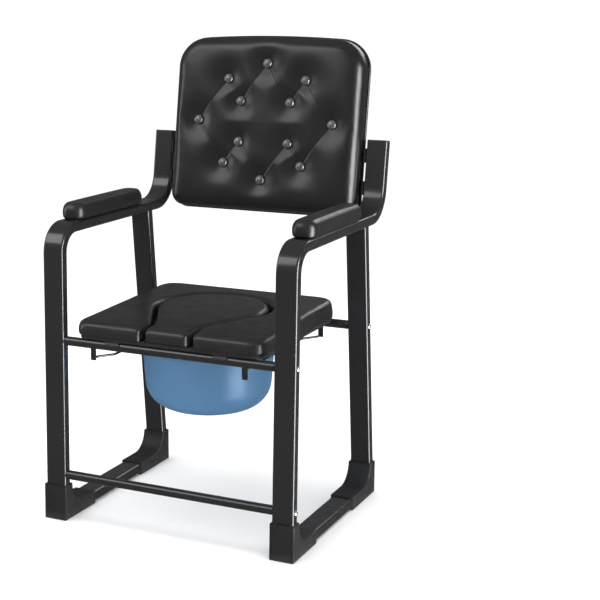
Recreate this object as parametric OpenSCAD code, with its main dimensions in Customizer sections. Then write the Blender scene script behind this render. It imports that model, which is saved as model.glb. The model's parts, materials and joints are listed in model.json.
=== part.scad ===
// Commode chair: two bent-tube side frames joined by three round bars, a tufted backrest,
// arm pads, a padded seat with a lift-out insert, and a bucket that slides on two rods.
// Millimetres, +Z up, +X to the sitter's left, +Y towards the back.
// Inside the modules Y is counted from the front legs' front face at the floor,
// and stand() moves every piece so that the origin is under the middle of the chair.

/* [Side frames] */
// Width over the outer faces of the two side frames
frame_w = 560; // [540:5:600]
// Width of the flat tube, across the chair
tube_w = 46; // [42:1:50]
// Thickness of the flat tube, in the plane of the side frame
tube_t = 22; // [20:1:25]
// Rounding of the flat tube's four edges
tube_edge = 5; // [3:0.5:6]
// Wall thickness of the flat tube
tube_wall = 1.5; // [1.2:0.1:2]
// Height of the arm tube's top face
arm_top = 622; // [600:1:650]
// Lean of the uprights and the backrest, in degrees
back_lean = 8.5; // [6:0.5:12]
// Height of the upright's top end, with its plastic cap
upright_top = 770; // [740:1:800]

/* [Seat bars] */
// Diameter of the three round bars
bar_d = 19; // [18:0.5:22]
// Height of the two seat bars' centre lines
seat_bar_z = 383; // [370:1:395]
// Height of the lower front bar's centre line
low_bar_z = 97; // [90:1:140]

/* [Backrest] */
// Width of the backrest
back_w = 440; // [400:5:450]
// Height of the backrest, along its lean
back_h = 378; // [340:2:400]
// Thickness of the cushion in front of the rear shell
back_foam = 48; // [40:1:60]
// Thickness of the rear shell
back_shell_t = 10; // [8:1:14]
// Height of the backrest's middle above the floor
back_mid_z = 800; // [790:1:815]

/* [Seat] */
// Width of the seat cushion
seat_w = 420; // [400:5:440]
// Depth of the seat cushion
seat_d = 401; // [390:1:405]
// Height of the seat's top face at its front edge
seat_front_top = 431; // [425:1:440]
// Height of the seat's top face at its rear edge
seat_rear_top = 442; // [435:1:450]

/* [Arm pads] */
// Length of an arm pad
arm_pad_l = 275; // [240:5:290]
// Width of an arm pad
arm_pad_w = 52; // [48:1:56]
// Height of an arm pad
arm_pad_h = 34; // [28:1:40]

/* [Bucket] */
// Diameter over the bucket's rim
rim_d = 304; // [300:1:305]
// Height of the bucket
bucket_h = 136; // [120:1:140]

/* [Hidden] */

$fn = 96;
arc_steps = 10;
bend_swell = 0.03;
bend_lap = 0.5;
butt_relief = 0.3;
through = 5;

// Side frame: corner points of the tube's centre line, as (y, z), with their bend radii
rail_z = 14;
arm_z = arm_top - tube_t / 2;
leg_lean = 0.75;
upright_foot_y = 476;
rear_leg_top_y = 379.5;
rear_leg_foot_y = 445.5;
function front_leg_y(z) = tube_t / 2 + z * tan(leg_lean);
function rear_leg_y(z) =
  rear_leg_foot_y - (z - rail_z) * (rear_leg_foot_y - rear_leg_top_y) / (arm_z - tube_t / 2 - rail_z);
cap_top_t = 3.5;
cap_plug_l = 14;
upright_end = [upright_foot_y + (upright_top - arm_z) * tan(back_lean), upright_top]
  - cap_top_t * [sin(back_lean), cos(back_lean)];
frame_path = [upright_end, [upright_foot_y, arm_z], [front_leg_y(arm_z), arm_z],
  [front_leg_y(rail_z), rail_z], [rear_leg_foot_y, rail_z], [rear_leg_y(arm_z - 7), arm_z - 7]];
frame_bends = [0, 67, 49, 58, 58, 0];
rear_lean = atan((rear_leg_foot_y - rear_leg_top_y) / (arm_z - tube_t / 2 - rail_z));
leg_inner_x = frame_w / 2 - tube_w;
leg_mid_x = frame_w / 2 - tube_w / 2;

// Foot caps
cap_wall = 3;
fit_gap = 0.1;
front_cap_h = 75;
front_cap_end_y = 116;
rear_cap_h = 71;
rear_cap_start_y = 320;

// Bars, their end nuts and bolts, as (y, z) centres
bar_wall = 1.5;
bar_centres = [[front_leg_y(seat_bar_z), seat_bar_z], [rear_leg_y(seat_bar_z), seat_bar_z],
  [front_leg_y(low_bar_z), low_bar_z]];
nut_l = 20;
bolt_r = 2.9;
bolt_hole_r = 3.25;
bolt_head_r = 6.5;
bolt_head_h = 4;

// Backrest, in its own leaning frame: Y backwards from the cushion's face, Z up the backrest
back_proud = 41.7;
back_origin = [upright_foot_y + (back_mid_z - arm_z) * tan(back_lean) - back_proud / cos(back_lean),
  back_mid_z];
function back_point(w, v) = back_origin + w * [cos(back_lean), -sin(back_lean)]
  + v * [sin(back_lean), cos(back_lean)];
back_arch = 9;
shell_bevel = 7;
button_r = 10.5;
button_pocket = 6;
button_base_t = 2;
button_ball_r = 12.5;
button_proud = 1.5;
button_places = [[0, 130], [92, 95], [59, 46], [160, 2], [59, -43], [93, -91], [0, -125]];
strap_t = 3;
strap_h = 30;
strap_w0 = back_foam + back_shell_t;
strap_levels = [-58, -128];
strap_screw_x = 90;
strap_lug = 12;
strap_gap = 0.05;
strap_screw_r = 2;

// Arm pads
arm_pad_y0 = 75;
arm_screw_y = [130, 300];
arm_screw_r = 2.4;

// Seat: the board rests on the bars, and the cushion wraps round the board's edge
seat_y0 = 5;
seat_bottom = seat_bar_z + bar_d / 2 + 1;
board_t = 7.5;
board_top = seat_bottom + board_t;
board_inset = 4;
insert_gap = 2;
insert_lift_gap = 0.3;
clip_x = 120;
clip_w = 30;
clip_wall = 3;
hinge_gap = 0.08;
saddle_gap = 0.3;
clip_flange_l = 32;
clip_flange_t = 2;
clip_screw_r = 1.7;
clip_screw_head_r = 3.4;
clip_screw_head_h = 2;
clip_screw_offset = 24;
clip_screw_half = 9;
clip_screw_l = 5.3;
clip_top = seat_bottom - 0.2;
clip_reach = 20;
clip_grip = 5;
flange_start = 6;

// Bucket rods: centre line points as (x, y), for the chair's +X side
rod_r = 2.5;
rod_z = 354;
rod_end_x = 169;
rod_run_x = 146;
rod_reach = 5;
tab_w = 11;
tab_t = 3;
front_bar_y = front_leg_y(seat_bar_z);
rear_bar_y = rear_leg_y(seat_bar_z);
rod_path = [[rod_end_x, front_bar_y - rod_reach], [rod_end_x, front_bar_y + 11],
  [rod_run_x, front_bar_y + 44], [rod_run_x, rear_bar_y - 52], [rod_end_x, rear_bar_y - 19],
  [rod_end_x, rear_bar_y + rod_reach]];
rod_bends = [0, 12, 12, 12, 12, 0];

// Bucket
bucket_y = 200;
rim_low = rod_z + rod_r + 0.5;
rim_h = 9;
rim_top = rim_low + rim_h;
bucket_low = rim_top - bucket_h;
bucket_top_r = 138;
bucket_low_r = 128;
bucket_wall = 3;
bucket_round = 58;
pivot_z = rim_low + rim_h / 2;
pin_r = 3;
pin_l = 12;
pin_head_t = 2.1;
handle_boss_r = 4.7;
pin_gap = 0.06;
handle_in_r = rim_d / 2 + 0.8;
handle_t = 4.5;
handle_h = 8.6;
grip_t = 10;
grip_angle = 64;

// The middle of the chair in Y: halfway from the front caps' face to the backrest's rear top edge
front_most = front_leg_y(0) - (tube_t / 2 + cap_wall) / cos(leg_lean);
rear_most = back_point(back_foam + back_shell_t, back_h / 2 - shell_bevel)[0];
mid_y = (front_most + rear_most) / 2;

// ---- geometry helpers ----

module stand() translate([0, -mid_y, 0]) children();

// Draws its child for x and for -x
module both_sides() { children(); mirror([1, 0, 0]) children(); }

// Turns a drawing in (y, z) with its depth along local z into the chair's frame
module side_plane(x) translate([x, 0, 0]) rotate([90, 0, 90]) children();

function unit(a) = [cos(a), sin(a)];
function heading(p, q) = atan2(q[1] - p[1], q[0] - p[0]);
function wrap(a) = a > 180 ? a - 360 : a < -180 ? a + 360 : a;
function turn_at(p, i) = wrap(heading(p[i], p[i + 1]) - heading(p[i - 1], p[i]));
function inner(p, i) = i > 0 && i < len(p) - 1;
function tangent_at(p, r, i) = inner(p, i) ? r[i] * tan(abs(turn_at(p, i)) / 2) : 0;
function bend_centre(p, r, i) =
  let (a = heading(p[i - 1], p[i]), s = sign(turn_at(p, i)))
  p[i] - tangent_at(p, r, i) * unit(a) + r[i] * s * [-sin(a), cos(a)];

// A bar bent along a path: child 0 is its section across straight runs (width, thickness),
// child 1 the section turned for the bends (thickness, width) and larger by bend_swell,
// so that each straight run ends just inside its bends. Child 2 is the section of the last run
module bent(p, r) {
  for (i = [0 : len(p) - 2]) {
    a = heading(p[i], p[i + 1]);
    t0 = inner(p, i) ? tangent_at(p, r, i) - bend_lap : 0;
    t1 = inner(p, i + 1) ? tangent_at(p, r, i + 1) - bend_lap : 0;
    translate(p[i] + t0 * unit(a)) rotate([0, 0, a]) rotate([0, 90, 0])
      linear_extrude(norm(p[i + 1] - p[i]) - t0 - t1)
        if (i == len(p) - 2) children(2); else children(0);
  }
  for (i = [1 : len(p) - 2]) {
    a = heading(p[i - 1], p[i]);
    t = turn_at(p, i);
    translate(bend_centre(p, r, i)) rotate([0, 0, t > 0 ? a - 90 : a + 90 + t])
      rotate_extrude(angle = abs(t)) translate([r[i], 0]) children(1);
  }
}

module rounded_rect(w, h, r) {
  square([w - 2 * r, h], center = true);
  square([w, h - 2 * r], center = true);
  for (x = [-1, 1], y = [-1, 1]) translate([x * (w / 2 - r), y * (h / 2 - r)]) circle(r);
}

// Points of a closed outline whose corners are rounded, each with its own radius
function corner_arc(p, c, n, r) =
  let (a = heading(p, c), b = heading(c, n), t = wrap(b - a), s = sign(t),
       m = c - r * tan(abs(t) / 2) * unit(a) + r * s * [-sin(a), cos(a)])
  r == 0 || t == 0 ? [c]
    : [for (k = [0 : arc_steps]) m + r * unit(a - s * 90 + t * k / arc_steps)];
function rounded_outline(p, r) =
  [for (i = [0 : len(p) - 1])
    each corner_arc(p[(i + len(p) - 1) % len(p)], p[i], p[(i + 1) % len(p)], r[i])];

// ---- side frames ----

module tube_section(grow, turned, relief = 0) {
  w = tube_w + 2 * (grow - relief);
  t = tube_t + 2 * grow;
  rounded_rect(turned ? t : w, turned ? w : t, tube_edge + grow);
}

module tube_path(p, r, grow, relief = 0) bent(p, r) {
  tube_section(grow, false);
  tube_section(grow + bend_swell, true);
  tube_section(grow, false, relief);
}

// The bore of the tube runs out at the upright's top and stops under the arm at the rear leg
function bore_path() = [for (i = [0 : len(frame_path) - 1])
  i == 0 ? frame_path[0] + [sin(back_lean), cos(back_lean)]
    : i == len(frame_path) - 1 ? [rear_leg_y(arm_z - tube_t / 2 - 1), arm_z - tube_t / 2 - 1]
    : frame_path[i]];

// The rear leg butts against the arm's rounded underside, so it is slimmer by butt_relief at each side
module side_frame() {
  difference() {
    side_plane(leg_mid_x) difference() {
      tube_path(frame_path, frame_bends, 0, butt_relief);
      tube_path(bore_path(), frame_bends, -tube_wall);
    }
    for (c = bar_centres) translate([leg_inner_x - 5, c[0], c[1]]) rotate([0, 90, 0])
      cylinder(r = bolt_hole_r, h = tube_w + 10);
    for (v = strap_levels) translate([leg_inner_x - 5, back_point(back_proud, v)[0],
      back_point(back_proud, v)[1]]) rotate([0, 90, 0]) cylinder(r = bolt_hole_r, h = 10);
    for (y = arm_screw_y) translate([leg_mid_x, y, arm_z - tube_t / 2 - 5])
      cylinder(r = arm_screw_r + 0.2, h = tube_t + 10);
  }
}

module left_side_frame() color("#1c1c1e") side_frame();
module right_side_frame() color("#1c1c1e") mirror([1, 0, 0]) side_frame();

// Plastic cap on the upright's open end, with a plug inside the tube
module upright_cap() {
  translate([leg_mid_x, upright_end[0], upright_end[1]]) rotate([-back_lean, 0, 0]) {
    linear_extrude(cap_top_t) tube_section(0, false);
    translate([0, 0, -cap_plug_l]) linear_extrude(cap_plug_l)
      tube_section(-tube_wall - fit_gap, false);
  }
}

module left_upright_cap() color("#18181a") upright_cap();
module right_upright_cap() color("#18181a") mirror([1, 0, 0]) upright_cap();

// Rubber sleeve round one bottom corner of a side frame, as an outline in (y, z):
// side is -1 for a front corner and 1 for a rear one
foot_half = tube_t / 2 + cap_wall;
function leg_y(side, z) = side < 0 ? front_leg_y(z) : rear_leg_y(z);
function sleeve_y(side, z, s) =
  leg_y(side, z) + s * foot_half / cos(side < 0 ? leg_lean : rear_lean);

module foot_outline(side, floor_end, top) {
  tall = 2 * top;
  outer_y = side < 0 ? sleeve_y(side, 0, -1) : sleeve_y(side, top, 1);
  width = abs(floor_end - outer_y);
  intersection() {
    translate([min(floor_end, outer_y), 0]) square([width, top]);
    polygon(rounded_outline([[sleeve_y(side, 0, side), 0], [floor_end, 0],
      [floor_end, 2 * foot_half], [sleeve_y(side, 2 * foot_half, -side), 2 * foot_half],
      [sleeve_y(side, tall, -side), tall], [sleeve_y(side, tall, side), tall]],
      [0, 0, 0, frame_bends[3] - foot_half, 0, 0]));
  }
}

module foot(side, floor_end, top) {
  i = side < 0 ? 3 : 4;
  side_plane(leg_mid_x) difference() {
    translate([0, 0, -tube_w / 2 - cap_wall]) linear_extrude(tube_w + 2 * cap_wall)
      foot_outline(side, floor_end, top);
    tube_path([for (k = [i - 1 : i + 1]) frame_path[k]], [0, frame_bends[i], 0], fit_gap);
  }
}

module front_foot() foot(-1, front_cap_end_y, front_cap_h);
module rear_foot() foot(1, rear_cap_start_y, rear_cap_h);
module front_left_foot() color("#131314") front_foot();
module front_right_foot() color("#131314") mirror([1, 0, 0]) front_foot();
module rear_left_foot() color("#131314") rear_foot();
module rear_right_foot() color("#131314") mirror([1, 0, 0]) rear_foot();

// ---- bars ----

module bar(i) {
  translate([-leg_inner_x, bar_centres[i][0], bar_centres[i][1]]) rotate([0, 90, 0]) difference() {
    cylinder(d = bar_d, h = 2 * leg_inner_x);
    translate([0, 0, -1]) cylinder(d = bar_d - 2 * bar_wall, h = 2 * leg_inner_x + 2);
  }
}

module front_seat_bar() color("#202022") bar(0);
module rear_seat_bar() color("#202022") bar(1);
module lower_front_bar() color("#202022") bar(2);

module bar_end_nuts() color("silver") both_sides() for (c = bar_centres)
  translate([leg_inner_x - nut_l, c[0], c[1]]) rotate([0, 90, 0]) difference() {
    cylinder(r = bar_d / 2 - bar_wall - 0.05, h = nut_l);
    translate([0, 0, -1]) cylinder(r = bolt_r + 0.05, h = nut_l + 2);
  }

// Button-head bolt along +Z: the head stands on z = 0 and the shank goes down
module button_bolt(r, length, head_r, head_h) {
  ball_r = (head_r * head_r * 0.55 + head_h * head_h) / (2 * head_h) + 2;
  translate([0, 0, -length]) cylinder(r = r, h = length);
  difference() {
    intersection() {
      cylinder(r = head_r, h = head_h);
      translate([0, 0, head_h - ball_r]) sphere(ball_r);
    }
    translate([0, 0, head_h * 0.45]) cylinder(r = r * 0.75, h = head_h, $fn = 6);
  }
}

module bar_bolts() color("silver") both_sides() for (c = bar_centres)
  translate([frame_w / 2, c[0], c[1]]) rotate([0, 90, 0])
    button_bolt(bolt_r, tube_w + nut_l - 2, bolt_head_r, bolt_head_h);

// ---- arm pads ----

function pad_plan(inset) =
  let (w = arm_pad_w / 2 - inset, y0 = arm_pad_y0 + inset, y1 = arm_pad_y0 + arm_pad_l - inset)
  rounded_outline([[-w, y0], [w, y0], [w, y1], [-w, y1]], [1, 1, 1, 1] * (w - 4));

module arm_pad() {
  translate([leg_mid_x, 0, arm_top]) difference() {
    hull() {
      linear_extrude(1) polygon(pad_plan(2));
      translate([0, 0, 6]) linear_extrude(arm_pad_h - 20) polygon(pad_plan(0));
      translate([0, 0, arm_pad_h - 7]) linear_extrude(1) polygon(pad_plan(3));
      translate([0, 0, arm_pad_h - 1]) linear_extrude(1) polygon(pad_plan(9));
    }
    for (y = arm_screw_y) translate([0, y, -1]) cylinder(r = arm_screw_r + 0.1, h = 16);
  }
}

module left_arm_pad() color("#161617") arm_pad();
module right_arm_pad() color("#161617") mirror([1, 0, 0]) arm_pad();

module arm_pad_screws() color("silver") both_sides() for (y = arm_screw_y)
  translate([leg_mid_x, y, arm_top - tube_t]) rotate([180, 0, 0])
    button_bolt(arm_screw_r, tube_t + 14, 5, 3);

// ---- backrest ----

module on_back() translate([0, back_origin[0], back_origin[1]]) rotate([-back_lean, 0, 0]) children();

function back_plan(inset) =
  let (w = back_w / 2 - inset, h = back_h / 2 - inset)
  rounded_outline([[-w, -h], [w, -h], [w, h - back_arch], [0, h], [-w, h - back_arch]],
    [28 - inset / 2, 28 - inset / 2, 60 - inset, 1500, 60 - inset]);

// A slice of the backrest's outline from depth w0 to depth w1
module back_slice(inset, w0, w1)
  translate([0, w1, 0]) rotate([90, 0, 0]) linear_extrude(w1 - w0) polygon(back_plan(inset));

module at_buttons() for (b = button_places, s = b[0] == 0 ? [1] : [-1, 1])
  translate([s * b[0], 0, b[1]]) rotate([-90, 0, 0]) children();

module back_cushion() color("#141415") on_back() difference() {
  hull() {
    back_slice(16, 0, 1);
    back_slice(6, 5, 6);
    back_slice(1, 16, back_foam);
  }
  at_buttons() translate([0, 0, -1]) cylinder(r = button_r + 0.3, h = button_pocket + 1);
}

module back_shell() color("#121213") on_back() difference() {
  hull() {
    back_slice(0, back_foam, back_foam + back_shell_t - 4);
    back_slice(shell_bevel, back_foam + back_shell_t - 1, back_foam + back_shell_t);
  }
  for (x = [-1, 1], v = strap_levels) translate([x * strap_screw_x, back_foam + 2, v])
    rotate([-90, 0, 0]) cylinder(r = strap_screw_r + 0.1, h = back_shell_t);
}

// Domed upholstery button, its flat base at the bottom of the cushion's pocket
module back_buttons() color("#6d6d70") on_back() at_buttons() {
  translate([0, 0, button_pocket - button_base_t]) cylinder(r = button_r, h = button_base_t);
  intersection() {
    translate([0, 0, -1]) cylinder(r = button_r, h = button_pocket - button_base_t + 1);
    translate([0, 0, button_ball_r - button_proud]) sphere(button_ball_r);
  }
}

// Flat steel strap behind the shell, with flanges forward along the uprights' inner faces
module back_strap(v) {
  x = leg_inner_x - strap_gap;
  w1 = strap_w0 + strap_t;
  w0 = back_proud - strap_lug;
  on_back() translate([0, 0, v]) difference() {
    translate([0, 0, -strap_h / 2]) linear_extrude(strap_h) polygon(rounded_outline(
      [[-x, w0], [-x + strap_t, w0], [-x + strap_t, w1 - strap_t], [x - strap_t, w1 - strap_t],
       [x - strap_t, w0], [x, w0], [x, w1], [-x, w1]], [0, 0, 4, 4, 0, 0, 7, 7]));
    both_sides() translate([x - strap_t - through, back_proud, 0]) rotate([0, 90, 0])
      cylinder(r = bolt_hole_r, h = strap_t + 2 * through);
    both_sides() translate([strap_screw_x, w1 - strap_t - through, 0]) rotate([-90, 0, 0])
      cylinder(r = strap_screw_r + 0.4, h = strap_t + 2 * through);
  }
}

module upper_back_strap() color("#2a2a2c") back_strap(strap_levels[0]);
module lower_back_strap() color("#2a2a2c") back_strap(strap_levels[1]);

module back_strap_bolts() color("silver") on_back() both_sides() for (v = strap_levels)
  translate([leg_inner_x - strap_gap - strap_t, back_proud, v]) rotate([0, -90, 0])
    button_bolt(bolt_r, strap_t + 12, 5.5, 3.2);

module back_shell_screws() color("silver") on_back() both_sides() for (v = strap_levels)
  translate([strap_screw_x, strap_w0 + strap_t, v]) rotate([-90, 0, 0])
    button_bolt(strap_screw_r, strap_t + 7, 4, 2.4);

// ---- seat ----

seat_slope = atan((seat_rear_top - seat_front_top) / seat_d);
seat_y1 = seat_y0 + seat_d;

function seat_plan(inset) =
  let (w = seat_w / 2 - inset, y0 = seat_y0 + inset, y1 = seat_y1 - inset)
  rounded_outline([[-w, y0], [w, y0], [w, y1], [-w, y1]],
    [30 - inset / 2, 30 - inset / 2, 45 - inset, 45 - inset]);

// The seat's outer form, before the keyhole parts it
module seat_form() hull() {
  translate([0, 0, seat_bottom]) linear_extrude(1) polygon(seat_plan(7));
  translate([0, 0, seat_bottom + 8]) linear_extrude(14) polygon(seat_plan(0));
  translate([0, 0, seat_front_top - 6]) rotate([seat_slope, 0, 0])
    linear_extrude(1) polygon(seat_plan(3));
  translate([0, 0, seat_front_top - 1]) rotate([seat_slope, 0, 0])
    linear_extrude(1) polygon(seat_plan(10));
}

// Keyhole outline of the insert: a neck open to the front and a round bulb behind it
function keyhole(grow) =
  let (neck = 54 + grow, bulb = 122 + grow, y1 = 331 + grow)
  rounded_outline([[-neck, -30], [neck, -30], [neck, 58], [bulb, 195], [bulb, y1], [-bulb, y1],
    [-bulb, 195], [-neck, 58]], [0, 0, 70, 90, 105, 105, 90, 70]);

// Oval opening in the board, under the insert
function aperture(inset) =
  let (w = 100 - inset, y0 = 108 + inset, y1 = 316 - inset)
  rounded_outline([[-w, y0], [w, y0], [w, y1], [-w, y1]], [1, 1, 1, 1] * (w - 2));

function board_plan(grow) = seat_plan(board_inset - grow);

// Places its child at each screw of the two saddles and the two clips, at height z
module at_clip_screws(z)
  for (x = [-clip_x, clip_x], s = [-1, 1], e = [[bar_centres[0][0], 1], [bar_centres[1][0], -1]])
    translate([x + s * clip_screw_half, e[0] + e[1] * clip_screw_offset, z]) children();

module seat_cushion() color("#171718") difference() {
  seat_form();
  translate([0, 0, seat_bottom - 5]) linear_extrude(80) polygon(keyhole(0));
  translate([0, 0, seat_bottom - 5]) linear_extrude(board_t + 5 + 0.15) polygon(board_plan(0.15));
}

module seat_board() color("#1a1a1a") difference() {
  translate([0, 0, seat_bottom]) linear_extrude(board_t) polygon(board_plan(0));
  translate([0, 0, seat_bottom - 5]) linear_extrude(board_t + 10) polygon(aperture(0));
  at_clip_screws(seat_bottom - through) cylinder(r = clip_screw_r + 0.1, h = through + clip_screw_l);
}

module seat_insert_cushion() color("#171718") intersection() {
  seat_form();
  translate([0, 0, board_top + insert_lift_gap]) linear_extrude(80) polygon(keyhole(-insert_gap));
}

module seat_insert_plate() color("#1a1a1a")
  translate([0, 0, seat_bottom + 1]) linear_extrude(board_t - 1 + insert_lift_gap)
    polygon(aperture(1.5));

// Half-round saddle over the front bar, open below, with its flange behind the bar
module front_saddle(x) color("#222222") {
  r = bar_d / 2 + saddle_gap;
  translate([x - clip_w / 2, bar_centres[0][0], bar_centres[0][1]]) difference() {
    union() {
      intersection() {
        rotate([0, 90, 0]) cylinder(r = r + clip_wall, h = clip_w);
        translate([0, -clip_reach, 0]) cube([clip_w, 2 * clip_reach, clip_top - seat_bar_z]);
      }
      translate([0, flange_start, clip_top - clip_flange_t - seat_bar_z])
        cube([clip_w, clip_flange_l - flange_start, clip_flange_t]);
    }
    translate([-1, 0, 0]) rotate([0, 90, 0]) cylinder(r = r, h = clip_w + 2);
    for (s = [-1, 1]) translate([clip_w / 2 + s * clip_screw_half, clip_screw_offset, 0])
      cylinder(r = clip_screw_r + 0.2, h = clip_reach);
  }
}

// Snap clip wrapped round the rear bar, open below: the seat tips up on it
module rear_clip(x) color("#222222") {
  r = bar_d / 2 + hinge_gap;
  translate([x - clip_w / 2, bar_centres[1][0], bar_centres[1][1]]) difference() {
    union() {
      intersection() {
        rotate([0, 90, 0]) cylinder(r = r + clip_wall, h = clip_w);
        translate([0, -clip_reach, -clip_grip])
          cube([clip_w, 2 * clip_reach, clip_grip + clip_top - seat_bar_z]);
      }
      translate([0, -clip_flange_l, clip_top - clip_flange_t - seat_bar_z])
        cube([clip_w, clip_flange_l - flange_start, clip_flange_t]);
    }
    translate([-1, 0, 0]) rotate([0, 90, 0]) cylinder(r = r, h = clip_w + 2);
    for (s = [-1, 1]) translate([clip_w / 2 + s * clip_screw_half, -clip_screw_offset, 0])
      cylinder(r = clip_screw_r + 0.2, h = clip_reach);
  }
}

module left_front_seat_saddle() front_saddle(clip_x);
module right_front_seat_saddle() front_saddle(-clip_x);
module left_rear_seat_clip() rear_clip(clip_x);
module right_rear_seat_clip() rear_clip(-clip_x);

module seat_clip_screws() color("silver") at_clip_screws(clip_top - clip_flange_t)
  rotate([180, 0, 0])
    button_bolt(clip_screw_r, clip_flange_t + clip_screw_l, clip_screw_head_r, clip_screw_head_h);

// ---- bucket rods ----

module bucket_rod() translate([0, 0, rod_z]) bent(rod_path, rod_bends) {
  circle(rod_r);
  circle(rod_r + bend_swell);
  circle(rod_r);
}

module left_bucket_rail() color("#1c1c1e") bucket_rod();
module right_bucket_rail() color("#1c1c1e") mirror([1, 0, 0]) bucket_rod();

// Flat steel tab welded under a seat bar, with a hole for the rod's end
module rail_tab(y) {
  translate([rod_end_x, y, 0]) difference() {
    translate([-tab_w / 2, -tab_t / 2, rod_z - 4.5]) cube([tab_w, tab_t, seat_bar_z - rod_z + 4.5]);
    translate([0, 0, rod_z]) rotate([90, 0, 0]) cylinder(r = rod_r + 0.05, h = 20, center = true);
    translate([0, 0, seat_bar_z]) rotate([0, 90, 0])
      cylinder(d = bar_d + 0.1, h = 2 * tab_w, center = true);
  }
}

module front_left_rail_tab() color("#1c1c1e") rail_tab(front_bar_y);
module front_right_rail_tab() color("#1c1c1e") mirror([1, 0, 0]) rail_tab(front_bar_y);
module rear_left_rail_tab() color("#1c1c1e") rail_tab(rear_bar_y);
module rear_right_rail_tab() color("#1c1c1e") mirror([1, 0, 0]) rail_tab(rear_bar_y);

// ---- bucket ----

function bucket_profile() = rounded_outline(
  [[0, bucket_low], [bucket_low_r, bucket_low], [bucket_top_r, rim_low], [rim_d / 2, rim_low],
   [rim_d / 2, rim_top], [bucket_top_r - bucket_wall, rim_top],
   [bucket_low_r - bucket_wall, bucket_low + bucket_wall], [0, bucket_low + bucket_wall]],
  [0, bucket_round, 1, 2, 3, 2, bucket_round - bucket_wall, 0]);

module bucket() color("#60889c") translate([0, bucket_y, 0]) {
  rotate_extrude($fn = 180) polygon(bucket_profile());
  both_sides() translate([rim_d / 2 - 4, 0, pivot_z]) rotate([0, 90, 0]) {
    cylinder(r = pin_r, h = pin_l);
    translate([0, 0, pin_l - pin_head_t]) cylinder(r = pin_r + 1.5, h = pin_head_t);
  }
}

module bucket_handle() color("#557d96") translate([0, bucket_y, pivot_z]) difference() {
  union() {
    rotate_extrude(angle = 180, $fn = 180) translate([handle_in_r, -handle_h / 2])
      square([handle_t, handle_h]);
    rotate([0, 0, 90 - grip_angle / 2]) rotate_extrude(angle = grip_angle, $fn = 180)
      translate([handle_in_r, -handle_h / 2]) square([grip_t, handle_h]);
    both_sides() translate([handle_in_r, 0, 0]) rotate([0, 90, 0])
      cylinder(r = handle_boss_r, h = handle_t);
  }
  both_sides() translate([handle_in_r - through, 0, 0]) rotate([0, 90, 0])
    cylinder(r = pin_r + pin_gap, h = handle_t + 2 * through);
}

stand() left_side_frame();
stand() right_side_frame();
stand() left_upright_cap();
stand() right_upright_cap();
stand() front_left_foot();
stand() front_right_foot();
stand() rear_left_foot();
stand() rear_right_foot();
stand() front_seat_bar();
stand() rear_seat_bar();
stand() lower_front_bar();
stand() bar_end_nuts();
stand() bar_bolts();
stand() left_arm_pad();
stand() right_arm_pad();
stand() arm_pad_screws();
stand() back_cushion();
stand() back_shell();
stand() back_buttons();
stand() upper_back_strap();
stand() lower_back_strap();
stand() back_strap_bolts();
stand() back_shell_screws();
stand() seat_cushion();
stand() seat_board();
stand() seat_insert_cushion();
stand() seat_insert_plate();
stand() left_front_seat_saddle();
stand() right_front_seat_saddle();
stand() left_rear_seat_clip();
stand() right_rear_seat_clip();
stand() seat_clip_screws();
stand() left_bucket_rail();
stand() right_bucket_rail();
stand() front_left_rail_tab();
stand() front_right_rail_tab();
stand() rear_left_rail_tab();
stand() rear_right_rail_tab();
stand() bucket();
stand() bucket_handle();
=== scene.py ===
# %% [markdown]
# # A commode chair
# This notebook dresses a finished metal-and-plastic design of a commode chair. The design
# fixes every size and every moving part. What is made here is what the eye sees: stuffed
# leather, moulded foam, rubber, paint, steel and the blue plastic of the bucket.
# Everything is in metres. +Z is up, +Y points from the front legs to the backrest.

# %% Load the design
import json
import math

import bpy
import bmesh
import numpy as np
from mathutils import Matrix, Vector
from mathutils.bvhtree import BVHTree


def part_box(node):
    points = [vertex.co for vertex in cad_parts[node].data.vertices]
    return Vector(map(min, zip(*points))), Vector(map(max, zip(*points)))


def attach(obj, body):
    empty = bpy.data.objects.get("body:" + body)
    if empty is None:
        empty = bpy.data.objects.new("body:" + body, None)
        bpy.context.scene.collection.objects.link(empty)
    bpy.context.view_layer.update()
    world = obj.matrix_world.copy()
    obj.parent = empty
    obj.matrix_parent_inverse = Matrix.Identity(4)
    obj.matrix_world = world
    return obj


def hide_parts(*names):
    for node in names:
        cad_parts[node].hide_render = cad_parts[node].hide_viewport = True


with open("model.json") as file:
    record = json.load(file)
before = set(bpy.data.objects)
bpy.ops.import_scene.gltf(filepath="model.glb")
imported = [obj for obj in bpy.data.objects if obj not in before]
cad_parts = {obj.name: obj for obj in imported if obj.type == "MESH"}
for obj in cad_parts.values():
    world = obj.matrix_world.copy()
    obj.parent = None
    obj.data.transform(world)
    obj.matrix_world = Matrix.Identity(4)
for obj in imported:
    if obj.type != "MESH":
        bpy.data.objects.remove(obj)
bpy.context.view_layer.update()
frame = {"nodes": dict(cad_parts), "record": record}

SAME = 1e-5  # coordinates closer than this, in metres, count as equal
WELD = 1e-6  # corners closer than this become one

# %% [markdown]
# ## Helpers for working by hand
# Operators act on whatever is selected, so each step starts from a known selection. Small
# helpers do that, and another copies a plain solid of the design so that it can be reshaped.
# A copied solid arrives as loose triangles, so its corners are merged and its flat faces
# are dissolved back into single faces before any edge is rounded.

# %% Selecting and copying
def nothing_selected():
    if bpy.context.mode != "OBJECT":
        bpy.ops.object.mode_set(mode="OBJECT")
    bpy.ops.object.select_all(action="DESELECT")


def only(piece):
    """Leaves piece as the one selected, active object, in object mode."""
    nothing_selected()
    piece.select_set(True)
    bpy.context.view_layer.objects.active = piece


def apply_transform():
    """Makes the selected object's place, turn and size part of its mesh."""
    bpy.ops.object.transform_apply(location=True, rotation=True, scale=True)


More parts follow.
